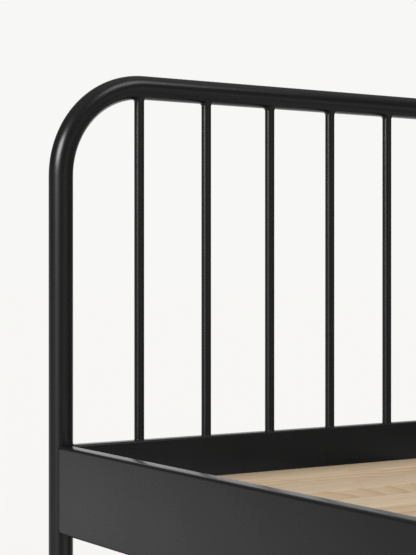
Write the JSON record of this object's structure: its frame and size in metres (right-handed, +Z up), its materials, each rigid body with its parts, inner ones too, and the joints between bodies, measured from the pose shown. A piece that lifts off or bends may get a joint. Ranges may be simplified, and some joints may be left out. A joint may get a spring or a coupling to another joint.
{
  "type": "metal bed frame",
  "caption": "Black spindle bed frame: bent-tube headboard and low footboard hoops with round spindles, tall box side rails, centre beam with screw feet, and a slatted wooden deck.",
  "frame": {"origin": "on the floor, under the middle of the frame's plan", "axes": "+Z up; +Y towards the head end, along the bed; +X to the right of someone who stands at the foot and looks at the head, so left in a node's name is -X"},
  "size_m": [1.472, 2.089, 1],
  "materials": {
    "black_powder_coat": "satin black powder coat with a very fine orange peel",
    "black_steel": "black zinc-plated screws, semi-gloss",
    "zinc_plated_steel": "bright zinc plate",
    "black_plastic": "matt moulded polyethylene",
    "pine": "planed, untreated solid pine"
  },
  "bodies": {
    "frame": {"headboard_hoop": "black_powder_coat", "headboard_cross_rail": "black_powder_coat", "headboard_spindle_01": "black_powder_coat", "headboard_spindle_02": "black_powder_coat", "headboard_spindle_03": "black_powder_coat", "headboard_spindle_04": "black_powder_coat", "headboard_spindle_05": "black_powder_coat", "headboard_spindle_06": "black_powder_coat", "headboard_spindle_07": "black_powder_coat", "headboard_spindle_08": "black_powder_coat", "headboard_spindle_09": "black_powder_coat", "headboard_spindle_10": "black_powder_coat", "headboard_foot_cap_left": "black_plastic", "headboard_foot_cap_right": "black_plastic", "headboard_bolt_left_upper": "black_steel", "headboard_bolt_left_lower": "black_steel", "headboard_bolt_right_upper": "black_steel", "headboard_bolt_right_lower": "black_steel", "headboard_beam_hanger": "black_powder_coat", "footboard_hoop": "black_powder_coat", "footboard_cross_rail": "black_powder_coat", "footboard_spindle_01": "black_powder_coat", "footboard_spindle_02": "black_powder_coat", "footboard_spindle_03": "black_powder_coat", "footboard_spindle_04": "black_powder_coat", "footboard_spindle_05": "black_powder_coat", "footboard_spindle_06": "black_powder_coat", "footboard_spindle_07": "black_powder_coat", "footboard_spindle_08": "black_powder_coat", "footboard_spindle_09": "black_powder_coat", "footboard_spindle_10": "black_powder_coat", "footboard_foot_cap_left": "black_plastic", "footboard_foot_cap_right": "black_plastic", "footboard_bolt_left_upper": "black_steel", "footboard_bolt_left_lower": "black_steel", "footboard_bolt_right_upper": "black_steel", "footboard_bolt_right_lower": "black_steel", "footboard_beam_hanger": "black_powder_coat", "side_rail_left": "black_powder_coat", "side_rail_right": "black_powder_coat", "slat_ledge_left": "black_powder_coat", "slat_ledge_right": "black_powder_coat", "centre_beam": "black_powder_coat", "centre_leg_headward": "black_powder_coat", "centre_leg_footward": "black_powder_coat", "slat_01": "pine", "slat_02": "pine", "slat_03": "pine", "slat_04": "pine", "slat_05": "pine", "slat_06": "pine", "slat_07": "pine", "slat_08": "pine", "slat_09": "pine", "slat_10": "pine", "slat_11": "pine", "slat_12": "pine", "slat_13": "pine"},
    "headward_foot": {"levelling_foot_headward": "zinc_plated_steel"},
    "footward_foot": {"levelling_foot_footward": "zinc_plated_steel"}
  },
  "joints": [
    {"name": "headward_foot_screw", "type": "slide", "parent": "frame", "child": "headward_foot", "axis": [0, 0, -1], "range_m": [-0.012, 0.015]},
    {"name": "footward_foot_screw", "type": "slide", "parent": "frame", "child": "footward_foot", "axis": [0, 0, -1], "range_m": [-0.012, 0.015]}
  ]
}
